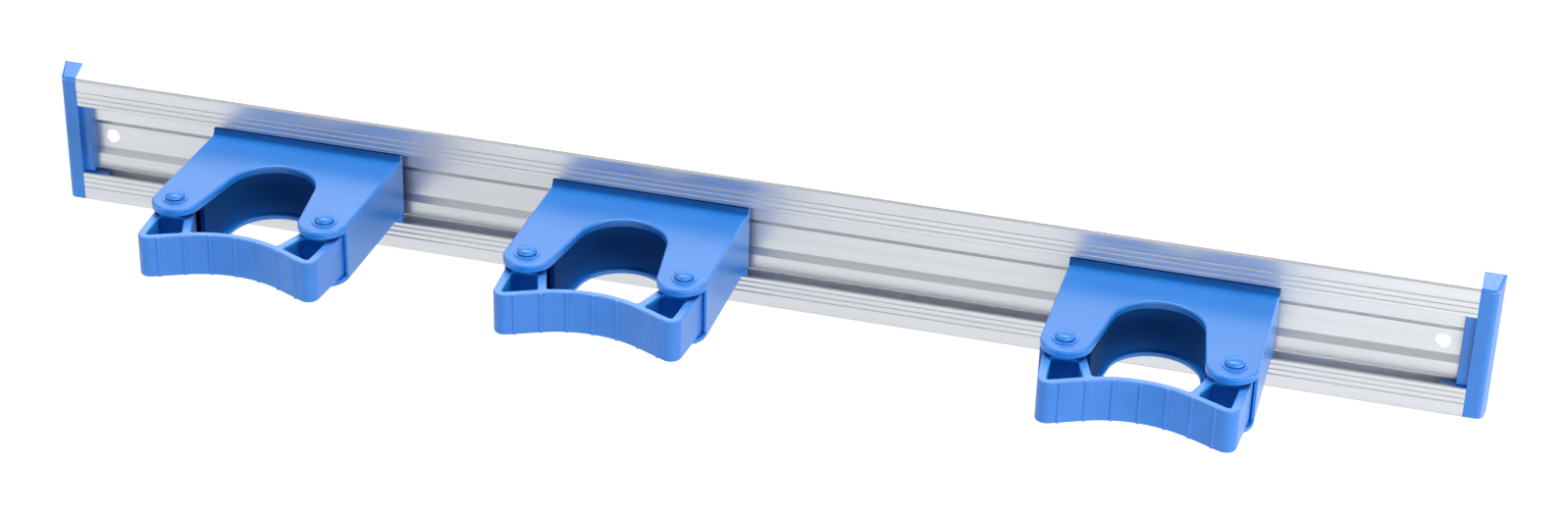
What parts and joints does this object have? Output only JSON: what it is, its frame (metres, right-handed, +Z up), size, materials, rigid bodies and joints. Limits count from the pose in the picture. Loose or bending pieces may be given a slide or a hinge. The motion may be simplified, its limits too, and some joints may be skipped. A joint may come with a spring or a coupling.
{
  "type": "wall mop holder rack",
  "caption": "Wall rail with end caps and sliding snap-in holders that grip mop and broom handles between hinged ears joined by a flexible ribbed web.",
  "frame": {"origin": "midway between the two wall-screw holes, on the wall face of the rail", "axes": "+X along the rail, to the right as seen from the room; +Y into the wall; +Z up"},
  "size_m": [0.5448, 0.0856, 0.058],
  "materials": {
    "aluminium": "satin anodised",
    "housing_plastic": "satin moulded",
    "gripper_rubber": "smooth soft"
  },
  "bodies": {
    "rail": {"rail": "aluminium", "end_cap_left": "housing_plastic", "end_cap_right": "housing_plastic"},
    "holder_1": {"housing_1": "housing_plastic", "pin_left_1": "housing_plastic", "pin_right_1": "housing_plastic"},
    "ear_left_1": {"ear_left_1": "gripper_rubber"},
    "web_left_1": {"web_left_1": "gripper_rubber"},
    "ear_right_1": {"ear_right_1": "gripper_rubber"},
    "web_right_1": {"web_right_1": "gripper_rubber"},
    "holder_2": {"housing_2": "housing_plastic", "pin_left_2": "housing_plastic", "pin_right_2": "housing_plastic"},
    "ear_left_2": {"ear_left_2": "gripper_rubber"},
    "web_left_2": {"web_left_2": "gripper_rubber"},
    "ear_right_2": {"ear_right_2": "gripper_rubber"},
    "web_right_2": {"web_right_2": "gripper_rubber"},
    "holder_3": {"housing_3": "housing_plastic", "pin_left_3": "housing_plastic", "pin_right_3": "housing_plastic"},
    "ear_left_3": {"ear_left_3": "gripper_rubber"},
    "web_left_3": {"web_left_3": "gripper_rubber"},
    "ear_right_3": {"ear_right_3": "gripper_rubber"},
    "web_right_3": {"web_right_3": "gripper_rubber"}
  },
  "joints": [
    {"name": "holder_1_slide", "type": "slide", "parent": "rail", "child": "holder_1", "axis": [1, 0, 0], "range_m": [-0.048, 0.0298]},
    {"name": "ear_left_1_hinge", "type": "hinge", "parent": "holder_1", "child": "ear_left_1", "pos_m": [-0.1994, -0.0617, 0], "axis": [0, 0, 1], "range_deg": [0, 45]},
    {"name": "web_left_1_bend", "type": "hinge", "parent": "ear_left_1", "child": "web_left_1", "pos_m": [-0.1737, -0.07235, 0], "axis": [0, 0, 1], "range_deg": [-45, 0], "deforming": ["web_left_1"]},
    {"name": "ear_right_1_hinge", "type": "hinge", "parent": "holder_1", "child": "ear_right_1", "pos_m": [-0.1412, -0.0617, 0], "axis": [0, 0, 1], "range_deg": [-45, 0]},
    {"name": "web_right_1_bend", "type": "hinge", "parent": "ear_right_1", "child": "web_right_1", "pos_m": [-0.1669, -0.07235, 0], "axis": [0, 0, 1], "range_deg": [0, 45], "deforming": ["web_right_1"]},
    {"name": "holder_2_slide", "type": "slide", "parent": "rail", "child": "holder_2", "axis": [1, 0, 0], "range_m": [-0.0298, 0.0592]},
    {"name": "ear_left_2_hinge", "type": "hinge", "parent": "holder_2", "child": "ear_left_2", "pos_m": [-0.0642, -0.0617, 0], "axis": [0, 0, 1], "range_deg": [0, 45]},
    {"name": "web_left_2_bend", "type": "hinge", "parent": "ear_left_2", "child": "web_left_2", "pos_m": [-0.0385, -0.07235, 0], "axis": [0, 0, 1], "range_deg": [-45, 0], "deforming": ["web_left_2"]},
    {"name": "ear_right_2_hinge", "type": "hinge", "parent": "holder_2", "child": "ear_right_2", "pos_m": [-0.006, -0.0617, 0], "axis": [0, 0, 1], "range_deg": [-45, 0]},
    {"name": "web_right_2_bend", "type": "hinge", "parent": "ear_right_2", "child": "web_right_2", "pos_m": [-0.0317, -0.07235, 0], "axis": [0, 0, 1], "range_deg": [0, 45], "deforming": ["web_right_2"]},
    {"name": "holder_3_slide", "type": "slide", "parent": "rail", "child": "holder_3", "axis": [1, 0, 0], "range_m": [-0.0592, 0.0594]},
    {"name": "ear_left_3_hinge", "type": "hinge", "parent": "holder_3", "child": "ear_left_3", "pos_m": [0.1298, -0.0617, 0], "axis": [0, 0, 1], "range_deg": [0, 45]},
    {"name": "web_left_3_bend", "type": "hinge", "parent": "ear_left_3", "child": "web_left_3", "pos_m": [0.1555, -0.07235, 0], "axis": [0, 0, 1], "range_deg": [-45, 0], "deforming": ["web_left_3"]},
    {"name": "ear_right_3_hinge", "type": "hinge", "parent": "holder_3", "child": "ear_right_3", "pos_m": [0.188, -0.0617, 0], "axis": [0, 0, 1], "range_deg": [-45, 0]},
    {"name": "web_right_3_bend", "type": "hinge", "parent": "ear_right_3", "child": "web_right_3", "pos_m": [0.1623, -0.07235, 0], "axis": [0, 0, 1], "range_deg": [0, 45], "deforming": ["web_right_3"]}
  ],
  "couplings": [
    {"joint": "ear_right_1_hinge", "follows": "ear_left_1_hinge", "ratio": -1},
    {"joint": "web_left_1_bend", "follows": "ear_left_1_hinge", "ratio": -1},
    {"joint": "web_right_1_bend", "follows": "ear_left_1_hinge", "ratio": 1},
    {"joint": "ear_right_2_hinge", "follows": "ear_left_2_hinge", "ratio": -1},
    {"joint": "web_left_2_bend", "follows": "ear_left_2_hinge", "ratio": -1},
    {"joint": "web_right_2_bend", "follows": "ear_left_2_hinge", "ratio": 1},
    {"joint": "ear_right_3_hinge", "follows": "ear_left_3_hinge", "ratio": -1},
    {"joint": "web_left_3_bend", "follows": "ear_left_3_hinge", "ratio": -1},
    {"joint": "web_right_3_bend", "follows": "ear_left_3_hinge", "ratio": 1}
  ]
}
